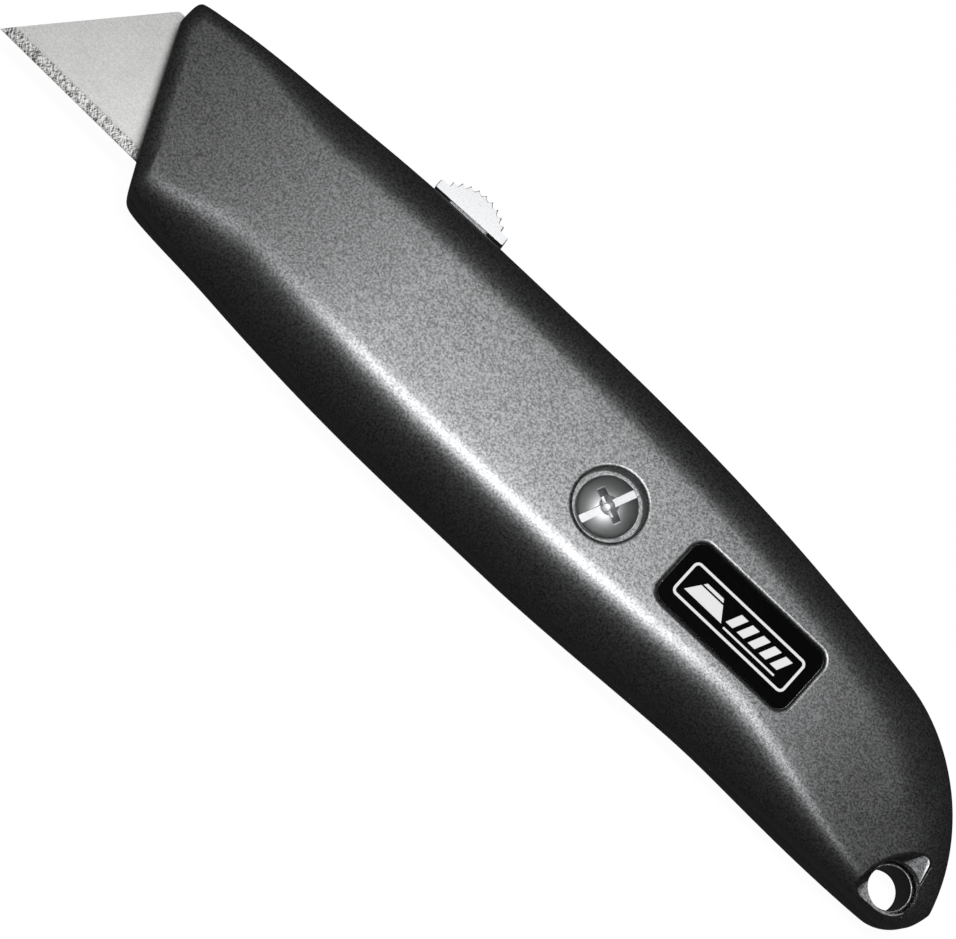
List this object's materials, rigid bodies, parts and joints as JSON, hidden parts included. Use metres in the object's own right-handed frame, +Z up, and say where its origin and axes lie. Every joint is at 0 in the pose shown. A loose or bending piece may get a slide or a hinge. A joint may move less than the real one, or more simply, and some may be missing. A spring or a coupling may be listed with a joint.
{
  "type": "utility knife",
  "caption": "Retractable utility knife: two-part metal grip, sliding trapezoid blade with thumb latch, spare-blade store and lanyard hole.",
  "frame": {"origin": "centre of the knife's box, at the base, with the knife lying on its side and the blade at its first stop", "axes": "+X from the blade's tip to the tail, along the slide's travel; +Y from the belly to the thumb button; +Z up, towards the half with the screw"},
  "size_m": [0.1706, 0.037, 0.0188],
  "materials": {
    "painted_casing": "dark grey metallic, fine texture",
    "bright_steel": "zinc plated, satin",
    "blade_steel": "fine ground",
    "carrier_steel": "plain pressed steel",
    "plated_button": "bright plated",
    "label_gloss": "gloss black"
  },
  "bodies": {
    "base": {"lower_casing": "painted_casing", "spare_blade_1": "blade_steel", "spare_blade_2": "blade_steel", "spare_blade_3": "blade_steel", "spare_blade_4": "blade_steel", "spare_blade_5": "blade_steel"},
    "slide": {"blade_carrier": "carrier_steel", "blade": "blade_steel", "latch_spring": "bright_steel", "spring_rivet": "bright_steel"},
    "button": {"thumb_button": "plated_button"},
    "cover": {"upper_casing": "painted_casing", "label_plate": "label_gloss"},
    "screw": {"body_screw": "bright_steel"}
  },
  "joints": [
    {"name": "blade_slide", "type": "slide", "parent": "base", "child": "slide", "axis": [1, 0, 0], "range_m": [0, 0.03], "deforming": ["latch_spring"]},
    {"name": "button_press", "type": "slide", "parent": "slide", "child": "button", "axis": [0, -1, 0], "range_m": [0, 0.0005], "stiffness_N_per_m": 6000, "deforming": ["latch_spring"]},
    {"name": "cover_lift", "type": "slide", "parent": "base", "child": "cover", "axis": [0, 0, 1], "range_m": [0, 0.03]},
    {"name": "screw_turn", "type": "hinge", "parent": "cover", "child": "screw", "pos_m": [0.0171, -0.0023, 0.0094], "axis": [0, 0, 1], "continuous": true}
  ]
}
